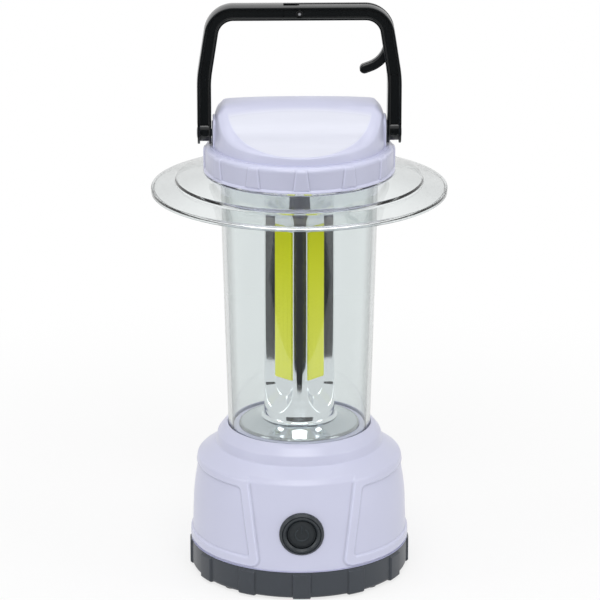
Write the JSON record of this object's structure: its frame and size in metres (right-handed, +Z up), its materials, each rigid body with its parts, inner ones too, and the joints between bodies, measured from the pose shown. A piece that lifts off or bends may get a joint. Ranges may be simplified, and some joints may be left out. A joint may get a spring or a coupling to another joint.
{
  "type": "camping lantern",
  "caption": "Battery camping lantern with a clear flanged globe over a bright column of long light strips, a push button, a twist-off battery cover and a bail with a flip-up hanging hook.",
  "frame": {"origin": "centre of the ground plane under the feet", "axes": "+Z up along the lantern's axis, -Y to the front with the push button, +X to the half of the bail that holds the hook"},
  "size_m": [0.16, 0.16, 0.3173],
  "materials": {
    "lavender_plastic": "satin lavender moulding",
    "dark_plastic": "fine-textured dark grey moulding",
    "black_plastic": "glossy black moulding",
    "foot_rubber": "soft matt rubber",
    "seal_rubber": "soft matt rubber",
    "button_rubber": "matt dark grey rubber",
    "clear_plastic": "clear polished plastic",
    "bright_reflector": "mirror-bright metal",
    "led_metal": "plain aluminium and metal-core board",
    "led_phosphor": "yellow-green phosphor coat",
    "fixing_steel": "plated steel",
    "contact_metal": "plated spring brass",
    "cell_can": null,
    "inner_plastic": "plain black moulding",
    "circuit_board": "green board"
  },
  "bodies": {
    "lantern": {"base_housing": "lavender_plastic", "battery_cell_1": "cell_can", "battery_cell_2": "cell_can", "battery_cell_3": "cell_can", "battery_cell_4": "cell_can", "battery_holder": "inner_plastic", "board_screws": "fixing_steel", "bridge_contact": "contact_metal", "button_bezel": "dark_plastic", "cap_ring": "lavender_plastic", "cap_screws": "fixing_steel", "cap_shell": "lavender_plastic", "driver_board": "circuit_board", "floor_reflector": "bright_reflector", "globe": "clear_plastic", "globe_seal": "seal_rubber", "holder_screws": "fixing_steel", "led_board_1": "led_metal", "led_board_2": "led_metal", "led_board_3": "led_metal", "led_board_4": "led_metal", "led_phosphor_1": "led_phosphor", "led_phosphor_2": "led_phosphor", "led_phosphor_3": "led_phosphor", "led_phosphor_4": "led_phosphor", "led_post": "led_metal", "negative_contact": "contact_metal", "pivot_pin_left": "fixing_steel", "pivot_pin_right": "fixing_steel", "pivot_washer_left": "dark_plastic", "pivot_washer_right": "dark_plastic", "positive_contact": "contact_metal", "push_switch": "inner_plastic", "reflector_column": "bright_reflector", "tie_nut": "fixing_steel", "tie_rod": "fixing_steel", "top_reflector": "bright_reflector"},
    "cover": {"battery_cover": "dark_plastic", "foot_1": "foot_rubber", "foot_2": "foot_rubber", "foot_3": "foot_rubber", "foot_4": "foot_rubber", "cover_gasket": "seal_rubber", "cover_contact_left": "contact_metal", "cover_contact_right": "contact_metal"},
    "button": {"power_button": "button_rubber", "switch_plunger": "inner_plastic"},
    "bail": {"bail": "black_plastic", "hook_pin": "fixing_steel"},
    "hook": {"hanging_hook": "black_plastic"}
  },
  "joints": [
    {"name": "bail_fold", "type": "hinge", "parent": "lantern", "child": "bail", "pos_m": [0, 0, 0.2471], "axis": [1, 0, 0], "range_deg": [-90, 90]},
    {"name": "hook_flip", "type": "hinge", "parent": "bail", "child": "hook", "pos_m": [0, 0, 0.3129], "axis": [0, -1, 0], "range_deg": [0, 90]},
    {"name": "button_press", "type": "slide", "parent": "lantern", "child": "button", "axis": [0, 1, 0], "range_m": [0, 0.0016], "stiffness_N_per_m": 1500, "springref_m": -0.0006},
    {"name": "cover_twist", "type": "hinge", "parent": "lantern", "child": "cover", "pos_m": [0, 0, 0], "axis": [0, 0, -1], "range_deg": [0, 40]}
  ]
}
